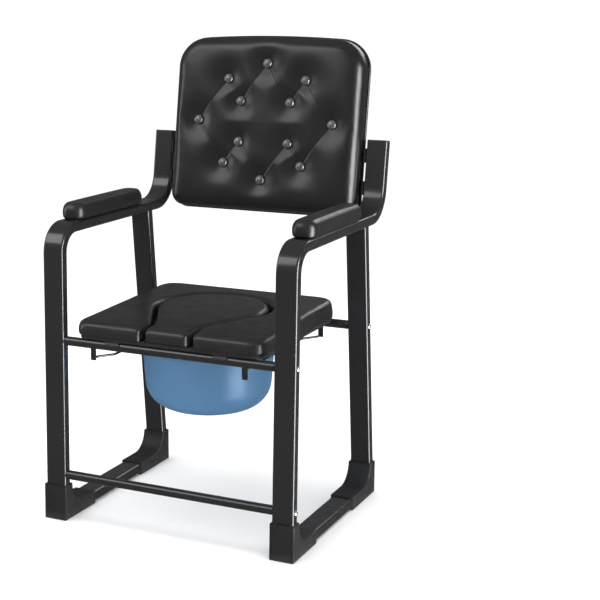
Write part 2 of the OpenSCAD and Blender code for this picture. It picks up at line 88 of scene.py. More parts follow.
def copy_of(node, name, flat_angle=1.0):
    """A merged copy of one solid of the design, with flat_angle in degrees; 0 keeps triangles."""
    piece = bpy.data.objects.new(name, frame["nodes"][node].data.copy())
    bpy.context.scene.collection.objects.link(piece)
    piece.data.materials.clear()
    only(piece)
    if piece.data.has_custom_normals:
        bpy.ops.mesh.customdata_custom_splitnormals_clear()
    bpy.ops.object.mode_set(mode="EDIT")
    bpy.ops.mesh.select_all(action="SELECT")
    bpy.ops.mesh.remove_doubles(threshold=WELD)
    if flat_angle:
        bpy.ops.mesh.dissolve_limited(angle_limit=math.radians(flat_angle))
    bpy.ops.object.mode_set(mode="OBJECT")
    return piece


def bevel_edges(piece, wanted, offset, segments=3):
    """Rounds the edges for which wanted(edge), an edge of the edit mesh, is true."""
    only(piece)
    bpy.ops.object.mode_set(mode="EDIT")
    bpy.ops.mesh.select_mode(type="EDGE")
    bpy.ops.mesh.select_all(action="DESELECT")
    mesh = bmesh.from_edit_mesh(piece.data)
    for edge in mesh.edges:
        if wanted(edge):
            edge.select = True
    mesh.select_flush_mode()
    bmesh.update_edit_mesh(piece.data)
    bpy.ops.mesh.bevel(offset=offset, segments=segments, affect="EDGES", clamp_overlap=False)
    bpy.ops.object.mode_set(mode="OBJECT")


def pick_faces(piece, wanted):
    """Selects just the faces for which wanted(face) is true; the piece is in edit mode."""
    bpy.ops.mesh.select_mode(type="FACE")
    bpy.ops.mesh.select_all(action="DESELECT")
    mesh = bmesh.from_edit_mesh(piece.data)
    for face in mesh.faces:
        face.select = wanted(face)
    bmesh.update_edit_mesh(piece.data)


def extrude_by(x, y, z):
    """Extrudes the selected faces by a vector."""
    bpy.ops.mesh.extrude_region_move(TRANSFORM_OT_translate={"value": (x, y, z)})


def join_to(piece, parts):
    only(piece)
    for part in parts:
        part.select_set(True)
    bpy.ops.object.join()


def apply_modifiers(piece):
    only(piece)
    for modifier in list(piece.modifiers):
        bpy.ops.object.modifier_apply(modifier=modifier.name)


def points_of(piece):
    points = np.empty(len(piece.data.vertices) * 3)
    piece.data.vertices.foreach_get("co", points)
    return points.reshape(-1, 3)


def set_points(piece, points):
    piece.data.vertices.foreach_set("co", np.ascontiguousarray(points, dtype=float).ravel())
    piece.data.update()


def shade(piece, angle=35):
    only(piece)
    bpy.ops.object.shade_smooth_by_angle(angle=math.radians(angle))


def hand_over(piece, finish, body, slot, *nodes):
    """Gives a finished piece its material and its moving body, and hides the solids of the design
    that it stands for; slot is not used.
    """
    piece.data.materials.clear()
    piece.data.materials.append(finish)
    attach(piece, body)
    if nodes:
        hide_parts(*nodes)
    print(piece.name, len(piece.data.polygons), "faces")


# %% [markdown]
# ## Finishes
# Each finish is a Principled shader with a few noise patterns on Object coordinates: one for
# the fine relief that catches the light, one for slow changes of gloss or colour. Relief is
# given in real sizes, so a grain of a third of a millimetre stays so on every piece.

# %% Node helpers
def new_finish(name, color, roughness, metallic=0.0):
    finish = bpy.data.materials.new(name)
    finish.use_nodes = True
    shader = finish.node_tree.nodes["Principled BSDF"]
    shader.inputs["Base Color"].default_value = (*color, 1)
    shader.inputs["Roughness"].default_value = roughness
    shader.inputs["Metallic"].default_value = metallic
    place = finish.node_tree.nodes.new("ShaderNodeTexCoord")
    return finish, shader, place.outputs["Object"]


def node_of(finish, kind, **values):
    """A node of that kind, its inputs set by name (underscores stand for spaces)."""
    node = finish.node_tree.nodes.new(kind)
    for key, value in values.items():
        node.inputs[key.replace("_", " ")].default_value = value
    return node


def noise(finish, place, scale, detail=2.0, roughness=0.5):
    node = node_of(finish, "ShaderNodeTexNoise", Scale=scale, Detail=detail, Roughness=roughness)
    finish.node_tree.links.new(place, node.inputs["Vector"])
    return node.outputs["Fac"]


def spread(finish, value, low, high, start=0.35, end=0.65):
    """Maps value from start..end to low..high."""
    node = node_of(finish, "ShaderNodeMapRange", From_Min=start, From_Max=end,
                   To_Min=low, To_Max=high)
    finish.node_tree.links.new(value, node.inputs["Value"])
    return node.outputs["Result"]


def relief(finish, shader, *layers):
    """Bumps the surface: each layer is (height pattern, depth in metres)."""
    links = finish.node_tree.links
    below = None
    for pattern, depth in layers:
        bump = node_of(finish, "ShaderNodeBump", Strength=1.0, Distance=depth)
        links.new(pattern, bump.inputs["Height"])
        if below is not None:
            links.new(below.outputs["Normal"], bump.inputs["Normal"])
        below = bump
    links.new(below.outputs["Normal"], shader.inputs["Normal"])


def tint(finish, shader, factor, dark, light):
    """Base colour between two colours, by factor."""
    ramp = finish.node_tree.nodes.new("ShaderNodeValToRGB")
    ramp.color_ramp.elements[0].color = (*dark, 1)
    ramp.color_ramp.elements[1].color = (*light, 1)
    finish.node_tree.links.new(factor, ramp.inputs["Fac"])
    finish.node_tree.links.new(ramp.outputs["Color"], shader.inputs["Base Color"])


def mottle(finish, shader, factor, color, darker, lighter):
    """Base colour that wavers between darker and lighter times one colour."""
    tint(finish, shader, factor, [c * darker for c in color], [c * lighter for c in color])


def gloss(finish, shader, factor, low, high):
    finish.node_tree.links.new(spread(finish, factor, low, high), shader.inputs["Roughness"])


# %% [markdown]
# ### Paint on the tubes
# Powder coat is sprayed dry and melts to a skin with a faint orange peel, a ripple about a
# millimetre across. The ripple breaks up reflections, and cloudy gloss tells of wiping.

# %% Frame paint
frame_paint, shader, place = new_finish("frame_paint", (0.017, 0.017, 0.018), 0.3)
tint(frame_paint, shader, noise(frame_paint, place, 7, 3),
     (0.014, 0.014, 0.0145), (0.018, 0.018, 0.0185))
gloss(frame_paint, shader, noise(frame_paint, place, 18, 2), 0.27, 0.31)
relief(frame_paint, shader, (noise(frame_paint, place, 550, 1), 0.000006),
       (noise(frame_paint, place, 2600, 1), 0.000002))
shader.inputs["Coat Weight"].default_value = 0.8
shader.inputs["Coat Roughness"].default_value = 0.1

# %% [markdown]
# ### Rubber, nylon and moulded board
# Rubber feet are matt and pick up dust near the floor. Nylon and the moulded boards share a
# fine spark-eroded grain. The same short function makes both, with its own gloss and grain.

# %% Rubber and black plastics
DUST_HEIGHT = 0.018

foot_rubber, shader, place = new_finish("foot_rubber", (0.013, 0.013, 0.014), 0.62)
height_of = foot_rubber.node_tree.nodes.new("ShaderNodeSeparateXYZ")
foot_rubber.node_tree.links.new(place, height_of.inputs["Vector"])
dust = spread(foot_rubber, height_of.outputs["Z"], 1.0, 0.0, start=0.0, end=DUST_HEIGHT)
patchy = foot_rubber.node_tree.nodes.new("ShaderNodeMath")
patchy.operation = "MULTIPLY"
foot_rubber.node_tree.links.new(dust, patchy.inputs[0])
foot_rubber.node_tree.links.new(noise(foot_rubber, place, 90, 4), patchy.inputs[1])
tint(foot_rubber, shader, patchy.outputs["Value"], (0.013, 0.013, 0.014), (0.05, 0.048, 0.045))
gloss(foot_rubber, shader, noise(foot_rubber, place, 60, 3), 0.48, 0.66)
relief(foot_rubber, shader, (noise(foot_rubber, place, 1500, 2), 0.00005),
       (noise(foot_rubber, place, 200, 2), 0.00008))


def grained_plastic(name, color, low, high, grain=2200, depth=0.00003):
    finish, shader, place = new_finish(name, color, low)
    mottle(finish, shader, noise(finish, place, 25, 3), color, 0.8, 1.25)
    gloss(finish, shader, noise(finish, place, 40, 3), low, high)
    relief(finish, shader, (noise(finish, place, grain, 2), depth))
    return finish


black_plastic = grained_plastic("black_plastic", (0.015, 0.015, 0.016), 0.34, 0.46)
board_plastic = grained_plastic("board_plastic", (0.016, 0.016, 0.017), 0.48, 0.62, 1400, 0.00006)
shell_plastic = grained_plastic("back_shell", (0.012, 0.012, 0.0125), 0.36, 0.48, 1800, 0.00005)

# %% [markdown]
# ### Leathers and moulded skin
# Artificial leather has a pebbled grain: small rounded cells with fine valleys, which is what
# a Voronoi pattern's distance to the cell edge gives. Self-skinned foam has a finer,
# flatter grain and a duller shine, because its skin is the mould's own texture.

# %% Leather and skin
def cells(finish, place, scale):
    node = finish.node_tree.nodes.new("ShaderNodeTexVoronoi")
    node.feature = "SMOOTH_F1"
    node.inputs["Scale"].default_value = scale
    node.inputs["Smoothness"].default_value = 0.6
    finish.node_tree.links.new(place, node.inputs["Vector"])
    return node.outputs["Distance"]


def hide_finish(name, color, low, high, cell_scale, cell_depth, coat):
    finish, shader, place = new_finish(name, color, low)
    mottle(finish, shader, noise(finish, place, 12, 4), color, 0.75, 1.3)
    gloss(finish, shader, noise(finish, place, 30, 4), low, high)
    relief(finish, shader, (noise(finish, place, 40, 2), 0.00006),
           (cells(finish, place, cell_scale), -cell_depth),
           (noise(finish, place, cell_scale * 2.5, 2), cell_depth * 0.3))
    shader.inputs["Coat Weight"].default_value = coat
    shader.inputs["Coat Roughness"].default_value = 0.18
    return finish


back_leather = hide_finish("back_leather", (0.013, 0.013, 0.0135), 0.28, 0.33, 800, 0.00003, 0.1)
pad_skin = hide_finish("pad_skin", (0.016, 0.016, 0.0165), 0.32, 0.40, 1300, 0.00004, 0.15)
piping_hide = hide_finish("piping_hide", (0.011, 0.011, 0.0115), 0.24, 0.30, 1000, 0.00003, 0.4)

# %% [markdown]
# ### Steel, buttons and the blue bucket
# Zinc-plated steel is nearly white with a fine scratched haze. The upholstery buttons are
# dark grey with a half-metallic sheen and a slow swirl. The bucket is moulded polypropylene,
# which lets a little light in below its surface, so it gets a small share of scattering.

# %% Steel, buttons, bucket
bright_steel, shader, place = new_finish("bright_steel", (0.62, 0.62, 0.64), 0.22, metallic=1.0)
tint(bright_steel, shader, noise(bright_steel, place, 140, 3), (0.5, 0.5, 0.52), (0.7, 0.7, 0.71))
gloss(bright_steel, shader, noise(bright_steel, place, 300, 4), 0.16, 0.32)
relief(bright_steel, shader, (noise(bright_steel, place, 1800, 2), 0.00002))

button_grey, shader, place = new_finish("button_grey", (0.16, 0.16, 0.165), 0.26)
tint(button_grey, shader, noise(button_grey, place, 110, 4),
     (0.12, 0.12, 0.123), (0.21, 0.21, 0.215))
gloss(button_grey, shader, noise(button_grey, place, 90, 3), 0.22, 0.3)
relief(button_grey, shader, (noise(button_grey, place, 500, 1), 0.00002))
shader.inputs["Metallic"].default_value = 0.6


def polypropylene(name, color, low, high):
    finish, shader, place = new_finish(name, color, low)
    mottle(finish, shader, noise(finish, place, 9, 3), color, 0.9, 1.1)
    gloss(finish, shader, noise(finish, place, 35, 3), low, high)
    relief(finish, shader, (noise(finish, place, 1300, 2), 0.00004),
           (noise(finish, place, 14, 2), 0.0008))
    shader.inputs["Specular IOR Level"].default_value = 0.35
    shader.inputs["Subsurface Weight"].default_value = 0.12
    shader.inputs["Subsurface Radius"].default_value = (0.002, 0.003, 0.005)
    shader.inputs["Subsurface Scale"].default_value = 0.6
    return finish


bucket_blue = polypropylene("bucket_blue", (0.085, 0.205, 0.37), 0.34, 0.42)
handle_blue = polypropylene("handle_blue", (0.076, 0.182, 0.33), 0.36, 0.44)

# %% [markdown]
# ## The backrest's own directions
# The backrest leans back with the uprights. Its shape is easiest to describe in its own
# directions: x across, depth from the cushion's face backwards, and rise up the pad. Two
# functions turn between those and the chair's directions.

# %% Backrest directions
BACK_LEAN = math.radians(8.5)
BACK_MID = Vector((0, 0.1904, 0.8))
BACK_W = 0.44
BACK_H = 0.378
BACK_FOAM = 0.048
SHELL_T = 0.010
BACK_ARCH = 0.009


def back_place(x, depth, rise):
    return Vector((x, BACK_MID.y + depth * math.cos(BACK_LEAN) + rise * math.sin(BACK_LEAN),
                   BACK_MID.z - depth * math.sin(BACK_LEAN) + rise * math.cos(BACK_LEAN)))


def in_back(points):
    """Columns x, depth and rise of points given in the chair's directions."""
    y = points[:, 1] - BACK_MID.y
    z = points[:, 2] - BACK_MID.z
    depth = y * math.cos(BACK_LEAN) - z * math.sin(BACK_LEAN)
    rise = y * math.sin(BACK_LEAN) + z * math.cos(BACK_LEAN)
    return np.column_stack([points[:, 0], depth, rise])


def out_of_back(local):
    y = BACK_MID.y + local[:, 1] * math.cos(BACK_LEAN) + local[:, 2] * math.sin(BACK_LEAN)
    z = BACK_MID.z - local[:, 1] * math.sin(BACK_LEAN) + local[:, 2] * math.cos(BACK_LEAN)
    return np.column_stack([local[:, 0], y, z])


# %% [markdown]
# ## Inflating a pad
# Real upholstery is fabric in tension over foam that pushes out. Blender's cloth solver does
# the same: the pad's skin becomes cloth, air pressure stands in for the foam, and vertices
# that are sewn or glued down are pinned. How far a point may travel is capped, so the pad
# keeps its size, and the travel is averaged with the neighbours', which takes out the
# solver's small waves. Then the result becomes the mesh.

# %% Cloth under pressure
EVEN_PASSES = 24


def remesh(piece, voxel):
    modifier = piece.modifiers.new("voxels", "REMESH")
    modifier.mode = "VOXEL"
    modifier.voxel_size = voxel
    apply_modifiers(piece)


def soften(piece, passes):
    modifier = piece.modifiers.new("soften", "SMOOTH")
    modifier.factor = 0.5
    modifier.iterations = passes
    apply_modifiers(piece)


def subdivide(piece):
    modifier = piece.modifiers.new("finer", "SUBSURF")
    modifier.levels = 1
    modifier.render_levels = 1
    apply_modifiers(piece)


def even_out(piece, field, passes):
    """Averages a vector per vertex with its neighbours', several times."""
    ends = np.empty(len(piece.data.edges) * 2, dtype=np.int64)
    piece.data.edges.foreach_get("vertices", ends)
    a, b = ends.reshape(-1, 2).T
    count = len(field)
    neighbours = np.bincount(a, minlength=count) + np.bincount(b, minlength=count)
    for _ in range(passes):
        around = np.column_stack([np.bincount(a, field[b, k], count)
                                  + np.bincount(b, field[a, k], count) for k in range(3)])
        field = (field + around / neighbours[:, None]) / 2
    return field


def inflate(piece, pinned, cap, pressure=4.0, frames=20):
    """Swells piece as cloth under pressure; pinned is one flag for each vertex."""
    rest = points_of(piece)
    group = piece.vertex_groups.new(name="sewn")
    group.add([int(i) for i in np.nonzero(pinned)[0]], 1.0, "REPLACE")
    cloth = piece.modifiers.new("cloth", "CLOTH")
    cloth.settings.use_pressure = True
    cloth.settings.uniform_pressure_force = pressure
    cloth.settings.vertex_group_mass = "sewn"
    cloth.settings.effector_weights.gravity = 0
    cloth.settings.mass = 0.3
    cloth.settings.tension_stiffness = 15
    cloth.settings.compression_stiffness = 15
    cloth.settings.bending_stiffness = 0.5
    cloth.point_cache.frame_start = 1
    cloth.point_cache.frame_end = frames
    for frame_number in range(1, frames + 1):
        bpy.context.scene.frame_set(frame_number)
    graph = bpy.context.evaluated_depsgraph_get()
    swollen = points_of(piece.evaluated_get(graph))
    step = swollen - rest
    length = np.linalg.norm(step, axis=1)
    print(piece.name, "swelled up to", round(length.max() * 1000, 1), "mm")
    keep = cap * np.tanh(length / cap) / np.maximum(length, 1e-9)
    piece.modifiers.remove(cloth)
    piece.vertex_groups.remove(group)
    set_points(piece, rest + even_out(piece, step * keep[:, None], EVEN_PASSES))
    bpy.context.scene.frame_set(1)


# %% [markdown]
# ## The backrest cushion
# Leather over foam, drawn down by twelve buttons. Tight pleats run from button to button as
# one closed star, and the foam bulges between them. The pleats and button seats are pressed
# into a plain pad first, then pinned while the cloth swells, and last they are drawn in
# sharply, because a solver's mesh is too coarse for a crease of a few millimetres.

# %% Where the buttons sit
HALF_STAR = [(0, 0.130), (0.059, 0.046), (0.092, 0.095), (0.160, 0.002),
             (0.093, -0.091), (0.059, -0.043), (0, -0.125)]
STAR = HALF_STAR + [(-x, rise) for x, rise in reversed(HALF_STAR[1:-1])]
PLEATS = list(zip(STAR, STAR[1:] + STAR[:1]))
PLEAT_SHARPNESS = 1.4
FRONT_HALF = 0.020   # the cushion's face lies in front of this depth
PRESS_END = 0.026    # nothing is pressed in behind this depth
PRESS_FADE = 0.020


def button_distance(local):
    gaps = [np.hypot(local[:, 0] - x, local[:, 2] - rise) for x, rise in STAR]
    return np.min(gaps, axis=0)


def pleat_distance(local):
    """Distance from each point to the nearest pleat line, seen from the front."""
    best = np.full(len(local), 1.0)
    for (x0, rise0), (x1, rise1) in PLEATS:
        run = np.array([x1 - x0, rise1 - rise0])
        offset = local[:, [0, 2]] - np.array([x0, rise0])
        along = np.clip(offset @ run / (run @ run), 0, 1)
        best = np.minimum(best, np.linalg.norm(offset - along[:, None] * run, axis=1))
    return best


def press_in(piece, button_depth, button_reach, pleat_depth, pleat_reach):
    """Pushes the cushion's face backwards at the buttons and along the pleats."""
    local = in_back(points_of(piece))
    facing = np.clip((PRESS_END - local[:, 1]) / PRESS_FADE, 0, 1)
    push = button_depth * np.exp(-(button_distance(local) / button_reach) ** 2)
    crease = np.exp(-np.abs(pleat_distance(local) / pleat_reach) ** PLEAT_SHARPNESS)
    push = push + pleat_depth * crease
    local[:, 1] += push * facing
    set_points(piece, out_of_back(local))


# %% [markdown]
# ### A block with the backrest's outline
# Cushion, shell and piping share one outline. A cube of the pad's size gets wide roundings
# at its upper corners and smaller ones at its lower corners. It is cut into slices, whose
# upper points are then lowered towards the sides, so that the top edge is arched.

# %% A block with the backrest's outline
UPPER_ROUND = 0.060
LOWER_ROUND = 0.028
SLICE = 0.03
SLICES = 5  # on each side of the middle


def runs_back(edge, low, high):
    """True for an edge that runs from front to back at a height between low and high."""
    a, b = edge.verts
    return abs(a.co.x - b.co.x) < SAME and abs(a.co.z - b.co.z) < SAME and low < a.co.z < high


def back_block(name, inset, depth0, depth1):
    """A block with the backrest's outline, smaller all round by inset, not leaning yet."""
    nothing_selected()
    bpy.ops.mesh.primitive_cube_add(size=1, location=(0, (depth0 + depth1) / 2, 0))
    block = bpy.context.active_object
    block.name = name
    block.scale = (BACK_W - 2 * inset, depth1 - depth0, BACK_H - 2 * inset)
    apply_transform()
    bevel_edges(block, lambda e: runs_back(e, 0, 1), UPPER_ROUND - inset, 14)
    bevel_edges(block, lambda e: runs_back(e, -1, 0), LOWER_ROUND - inset / 2, 10)
    bpy.ops.object.mode_set(mode="EDIT")
    bpy.ops.mesh.select_mode(type="FACE")
    for k in range(-SLICES, SLICES + 1):
        bpy.ops.mesh.select_all(action="SELECT")
        bpy.ops.mesh.bisect(plane_co=(k * SLICE, 0, 0), plane_no=(1, 0, 0))
    bpy.ops.object.mode_set(mode="OBJECT")
    points = points_of(block)
    above = np.clip(points[:, 2] / (BACK_H / 2), 0, 1)
    across = np.clip(np.abs(points[:, 0]) / (BACK_W / 2), 0, 1)
    points[:, 2] -= BACK_ARCH * above * across**2
    set_points(block, points)
    return block


def rim_edges(depth):
    """Picks the edges of a block's rim at one depth."""
    def wanted(edge):
        return (all(abs(v.co.y - depth) < SAME for v in edge.verts) and len(edge.link_faces) == 2
                and edge.link_faces[0].normal.dot(edge.link_faces[1].normal) < 0.5)
    return wanted


def lean_back(piece):
    set_points(piece, out_of_back(points_of(piece)))


# %% [markdown]
# ### Pressing, pinning and swelling
# The block's front rim is rounded over, and the block becomes an even mesh, which cloth
# needs. It is pressed in softly, swells, and is split finer along the pleats, where the sharp
# creases are drawn last.

# %% Pad, pleats and swelling
CUSHION_PROUD = 0.0025   # the leather stands this far outside the design's outline
CUSHION_RIM = 0.026
CUSHION_VOXEL = 0.005
GLUED_FOAM = 0.010       # this thickness next to the shell keeps still
SEWN_AT_BUTTON = 0.010
SEWN_AT_PLEAT = 0.0026


def finer_near_pleats(piece, reach, cuts):
    """Splits the faces along the pleats, so that a crease can be narrow."""
    only(piece)
    local = in_back(points_of(piece))
    near = (pleat_distance(local) < reach) & (local[:, 1] < FRONT_HALF)
    bpy.ops.object.mode_set(mode="EDIT")
    pick_faces(piece, lambda face: all(near[v.index] for v in face.verts))
    bpy.ops.mesh.subdivide(number_cuts=cuts, smoothness=0)
    bpy.ops.object.mode_set(mode="OBJECT")


cushion = back_block("tufted_back_cushion", -CUSHION_PROUD, 0.0, BACK_FOAM)
bevel_edges(cushion, rim_edges(0.0), CUSHION_RIM, 9)
lean_back(cushion)
remesh(cushion, CUSHION_VOXEL)
soften(cushion, 6)
press_in(cushion, button_depth=0.0095, button_reach=0.030, pleat_depth=0.0018, pleat_reach=0.016)
local = in_back(points_of(cushion))
on_shell = local[:, 1] > BACK_FOAM - GLUED_FOAM
sewn = (button_distance(local) < SEWN_AT_BUTTON) | (pleat_distance(local) < SEWN_AT_PLEAT)
inflate(cushion, on_shell | (sewn & (local[:, 1] < FRONT_HALF)), cap=0.008)
subdivide(cushion)
finer_near_pleats(cushion, reach=0.006, cuts=2)
press_in(cushion, button_depth=0.0, button_reach=0.010, pleat_depth=0.0009, pleat_reach=0.0014)
shade(cushion, 60)
hand_over(cushion, back_leather, "frame", "back_leather", "back_cushion")

# %% [markdown]
# ## The buttons
# One button is shaped from a sphere: flattened to a dome, with a thin turned-in rim at its
# foot. The same steps make one for each seat, and each leans back with the cushion.

# %% Twelve buttons
BUTTON_R = 0.0105
BUTTON_FLATTENING = 0.52
BUTTON_RIM = 0.0012
BUTTON_FOOT, BUTTON_FOOT_RATIO = 0.002, 0.88
BESIDE_BUTTON = (0.009, 0.012)  # where the leather's depth is measured
BUTTON_SINK = 0.0006


def dome_button(name, place):
    nothing_selected()
    bpy.ops.mesh.primitive_uv_sphere_add(segments=40, ring_count=20, radius=BUTTON_R)
    button = bpy.context.active_object
    button.name = name
    bpy.ops.object.mode_set(mode="EDIT")
    bpy.ops.mesh.select_all(action="SELECT")
    bpy.ops.mesh.bisect(plane_co=(0, 0, 0), plane_no=(0, 0, 1), clear_inner=True, use_fill=True)
    bpy.ops.mesh.select_all(action="SELECT")
    bpy.ops.transform.resize(value=(1, 1, BUTTON_FLATTENING))
    pick_faces(button, lambda face: face.normal.z < -0.9)
    extrude_by(0, 0, -BUTTON_RIM)
    extrude_by(0, 0, -BUTTON_FOOT)
    bpy.ops.transform.resize(value=(BUTTON_FOOT_RATIO, BUTTON_FOOT_RATIO, 1))
    bpy.ops.object.mode_set(mode="OBJECT")
    button.rotation_euler = (math.radians(90) - BACK_LEAN, 0, 0)
    button.location = place
    apply_transform()
    return button


def seat_depth(x, rise):
    """How deep the leather lies just beside a button."""
    local = in_back(points_of(cushion))
    gap = np.hypot(local[:, 0] - x, local[:, 2] - rise)
    nearest, farthest = BESIDE_BUTTON
    beside = (gap > nearest) & (gap < farthest) & (local[:, 1] < 0.03)
    return float(local[beside, 1].mean())


for number, (x, rise) in enumerate(STAR, 1):
    place = back_place(x, seat_depth(x, rise) + BUTTON_SINK, rise)
    button = dome_button(f"back_button_{number:02d}", place)
    shade(button, 40)
    hand_over(button, button_grey, "frame", "button_grey", "back_buttons")

# %% [markdown]
# ## The shell behind the cushion
# A moulded board closes the back. It is a thin block with the backrest's outline, and its
# rear rim is rounded over.

# %% Shell
SHELL_PROUD = 0.002
SHELL_RIM = 0.0065
SHELL_FRONT = BACK_FOAM + 0.0004
SHELL_REAR = BACK_FOAM + SHELL_T

shell = back_block("back_shell_moulding", -SHELL_PROUD, SHELL_FRONT, SHELL_REAR)
bevel_edges(shell, rim_edges(SHELL_REAR), SHELL_RIM, 5)
lean_back(shell)
shade(shell, 40)
hand_over(shell, shell_plastic, "frame", "back_shell", "back_shell")

# %% [markdown]
# ### The piping
# A cord of the same leather covers the joint between cushion and shell. It is a loop of
# edges taken from a block's outline, turned into a curve with a round section, and made a
# mesh again.

# %% Piping
PIPING_R = 0.0034
PIPING_DEPTH = BACK_FOAM - 0.0002


def outline_cord(name, block, depth, radius):
    """A round cord along the outline of block at one depth; the block is used up."""
    only(block)
    bpy.ops.object.mode_set(mode="EDIT")
    bpy.ops.mesh.select_mode(type="VERT")
    bpy.ops.mesh.select_all(action="DESELECT")
    mesh = bmesh.from_edit_mesh(block.data)
    spare = [v for v in mesh.verts if abs(v.co.y - depth) > SAME]
    bmesh.ops.delete(mesh, geom=spare, context="VERTS")
    inside = [e for e in mesh.edges if len(e.link_faces) == 2]
    bmesh.ops.delete(mesh, geom=list(mesh.faces), context="FACES_ONLY")
    bmesh.ops.delete(mesh, geom=inside, context="EDGES")
    bmesh.update_edit_mesh(block.data)
    bpy.ops.object.mode_set(mode="OBJECT")
    bpy.ops.object.convert(target="CURVE")
    block.data.bevel_depth = radius
    block.data.bevel_resolution = 3
    bpy.ops.object.convert(target="MESH")
    cord = bpy.context.active_object
    cord.name = name
    return cord


piping_block = back_block("piping_block", -CUSHION_PROUD, BACK_FOAM - 0.004, PIPING_DEPTH)
piping = outline_cord("back_piping", piping_block, PIPING_DEPTH, PIPING_R)
lean_back(piping)
shade(piping, 60)
hand_over(piping, piping_hide, "frame", "back_leather")

# %% [markdown]
# ## Seat and insert
# The seat is foam that forms its own skin in the mould, so it has no seams: only soft
# edges, and a deep keyhole groove where the insert lifts out. Both pieces start from the
# plain solids, are remeshed finely, and get their lips rolled over by a radius measured
# from the groove's wall.

# %% Rolling the lips of the groove
UPRIGHT = 0.2            # a wall's normal has less rise than this
FACES_FRONT = -0.8       # a normal's y below this faces the front
seat_low, seat_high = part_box("seat_cushion")
SEAT_FRONT_TOP = 0.431
GROOVE_GAP = 0.002
WALL_LEVEL = 0.415       # the height at which the groove's wall is looked for
WALL_REACH = 0.03
LIP_R = np.array([0.012, 0.017, 0.012])
LIP_DRAWN = 0.003


def walls_of(node):
    """A search tree of a solid's upright faces, without the ones that face the front."""
    mesh = frame["nodes"][node].data
    corners = [tuple(v.co) for v in mesh.vertices]
    faces = [tuple(p.vertices) for p in mesh.polygons
             if abs(p.normal.z) < UPRIGHT and p.normal.y > FACES_FRONT]
    return BVHTree.FromPolygons(corners, faces)


def seat_top(y):
    """Height of the seat's flat top at y, which rises gently towards the back."""
    share = (y - seat_low.y) / (seat_high.y - seat_low.y)
    return SEAT_FRONT_TOP + (seat_high.z - SEAT_FRONT_TOP) * share


def roll_lips(piece, walls, gap, outward):
    """Draws piece's wall back from the groove and rolls its edges over.

    The three radii of LIP_R are measured from the groove, from the seat's front and from its
    top. gap is how far the piece's own wall stands from walls, and outward is 1 or -1.
    """
    points = points_of(piece)
    for point in points:
        probe = Vector((point[0], point[1], WALL_LEVEL))
        hit, normal, _, _ = walls.find_nearest(probe, WALL_REACH)
        if hit is None:
            continue
        flat = Vector((normal.x, normal.y, 0)).normalized() * outward
        reach = max((probe - hit).dot(flat) - gap, 0)
        if reach > LIP_R[0] + LIP_DRAWN:
            continue
        inset = reach * LIP_R[0] / (LIP_R[0] + LIP_DRAWN)
        aside = LIP_DRAWN + inset - reach
        deep = np.array([inset, point[1] - seat_low.y, seat_top(point[1]) - point[2]])
        short = np.clip(1 - deep / LIP_R, 0, 1)
        length = np.linalg.norm(short)
        back = down = 0
        if length > 1:
            more, back, down = LIP_R * short * (1 - 1 / length)
            aside += more
        point += (flat.x * aside, flat.y * aside + back, -down)
    set_points(piece, points)


TOP_LAYER_FROM, TOP_LAYER = 0.412, 0.02   # the crown fades in over this much height
EDGE_FALL = 0.0025


def crown(piece, rise):
    """Lifts the middle of the seat's top a little and lets its edges fall away."""
    points = points_of(piece)
    mid_y = (seat_low.y + seat_high.y) / 2
    across = np.clip(np.abs(points[:, 0]) / seat_high.x, 0, 1)
    along = np.clip(np.abs(points[:, 1] - mid_y) / (seat_high.y - mid_y), 0, 1)
    share = np.clip((points[:, 2] - TOP_LAYER_FROM) / TOP_LAYER, 0, 1)
    points[:, 2] += rise * share * (1 - across**2) * (1 - along**2)
    points[:, 2] -= EDGE_FALL * share * np.maximum(across**6, along**6)
    set_points(piece, points)


# %% [markdown]
# ### Both foam pieces
# The groove's wall is taken from the insert's own solid for both pieces. The seat lies
# outside it by the groove's gap and the insert lies inside it, so the same steps serve.

# %% Seat cushion and insert
SEAT_VOXEL = 0.0027
SEAT_CROWN = 0.002


def moulded_foam(node, name, body, gap, outward):
    piece = copy_of(node, name, flat_angle=0)
    remesh(piece, SEAT_VOXEL)
    soften(piece, 12)
    roll_lips(piece, walls_of("seat_insert_cushion"), gap, outward)
    crown(piece, SEAT_CROWN)
    soften(piece, 4)
    shade(piece, 60)
    hand_over(piece, pad_skin, body, "pad_skin", node)


moulded_foam("seat_cushion", "moulded_seat", "seat", GROOVE_GAP, 1)
moulded_foam("seat_insert_cushion", "moulded_insert", "seat_insert", 0.0, -1)

# %% [markdown]
# ## Arm pads
# Short moulded pads of the same foam. A fine mesh and some smoothing soften every edge, and
# the middle of the top is lifted to a slight crown.

# %% Arm pads
ARM_VOXEL = 0.0028
ARM_CROWN = 0.0015


def arm_pad(node, name):
    low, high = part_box(node)
    pad = copy_of(node, name, flat_angle=0)
    remesh(pad, ARM_VOXEL)
    soften(pad, 8)
    points = points_of(pad)
    mid = (low + high) / 2
    across = np.abs(points[:, 0] - mid.x) / (high.x - mid.x)
    along = np.abs(points[:, 1] - mid.y) / (high.y - mid.y)
    share = np.clip((points[:, 2] - mid.z) / (high.z - mid.z), 0, 1)
    points[:, 2] += ARM_CROWN * share * (1 - across**2) * (1 - along**4)
    set_points(pad, points)
    subdivide(pad)
    shade(pad, 60)
    hand_over(pad, pad_skin, "frame", "pad_skin", node)


arm_pad("left_arm_pad", "left_moulded_arm_pad")
arm_pad("right_arm_pad", "right_moulded_arm_pad")

# %% [markdown]
# ## Rubber feet
# Each foot is a rubber sleeve round one bottom corner of a side frame. Its shape is right in
# the design, but a moulded edge is never sharp, so the edges of its two flat sides and of
# its open ends are rounded by a couple of millimetres.

# %% Feet
FOOT_EDGE = 0.0022


